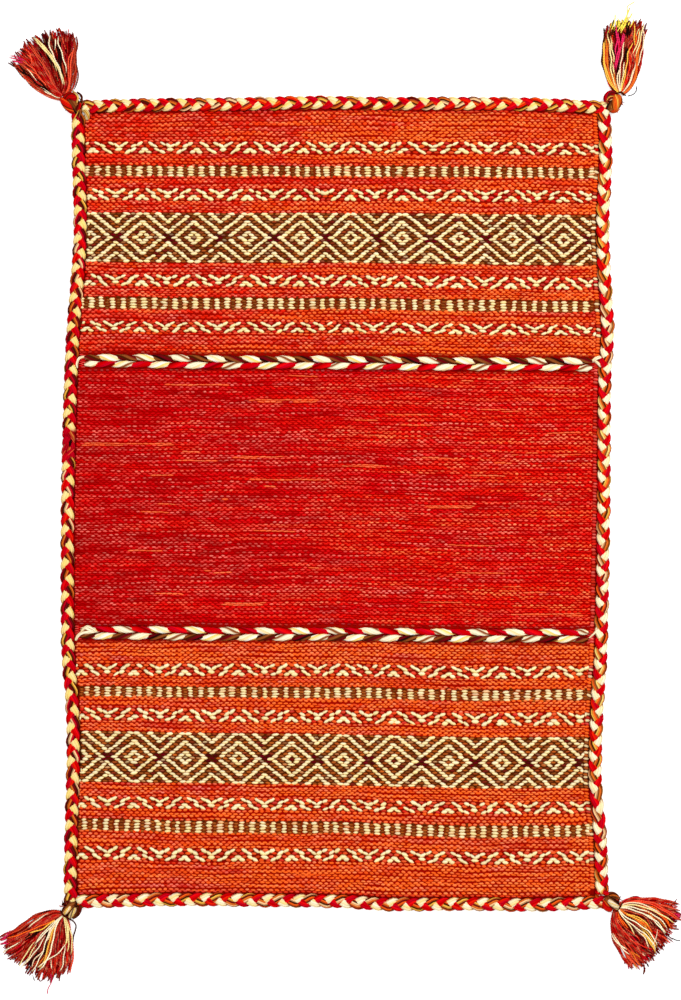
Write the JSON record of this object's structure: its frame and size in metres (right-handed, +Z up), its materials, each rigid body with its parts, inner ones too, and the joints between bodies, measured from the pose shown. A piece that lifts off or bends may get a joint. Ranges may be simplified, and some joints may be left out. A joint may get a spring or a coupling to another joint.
{
  "type": "kilim rug",
  "caption": "Small flat-woven kilim rug with a plaited border and a knotted yarn tassel at each corner, lying face up on a floor.",
  "frame": {"origin": "under the middle of the rug's box, tassels included, on the floor it lies on", "axes": "+Y along the rug's length, towards its top edge as pictured; +X to the right; +Z up, out of the patterned face"},
  "size_m": [0.7504, 1.0772, 0.015],
  "materials": {
    "woven_cloth": "matt weft-faced weave of red and orange yarn with cream and brown pattern bands",
    "plaited_yarn": "matt thick yarn, plaited from cream, red and brown with orange strands",
    "tassel_yarn": "matt loose yarn ends in red, orange, cream, gold, brown and pink"
  },
  "bodies": {
    "root": {"woven_panel": "woven_cloth", "braid_left": "plaited_yarn", "braid_right": "plaited_yarn", "braid_top": "plaited_yarn", "braid_bottom": "plaited_yarn", "tassel_top_left": "tassel_yarn", "tassel_top_right": "tassel_yarn", "tassel_bottom_left": "tassel_yarn", "tassel_bottom_right": "tassel_yarn"}
  },
  "joints": []
}
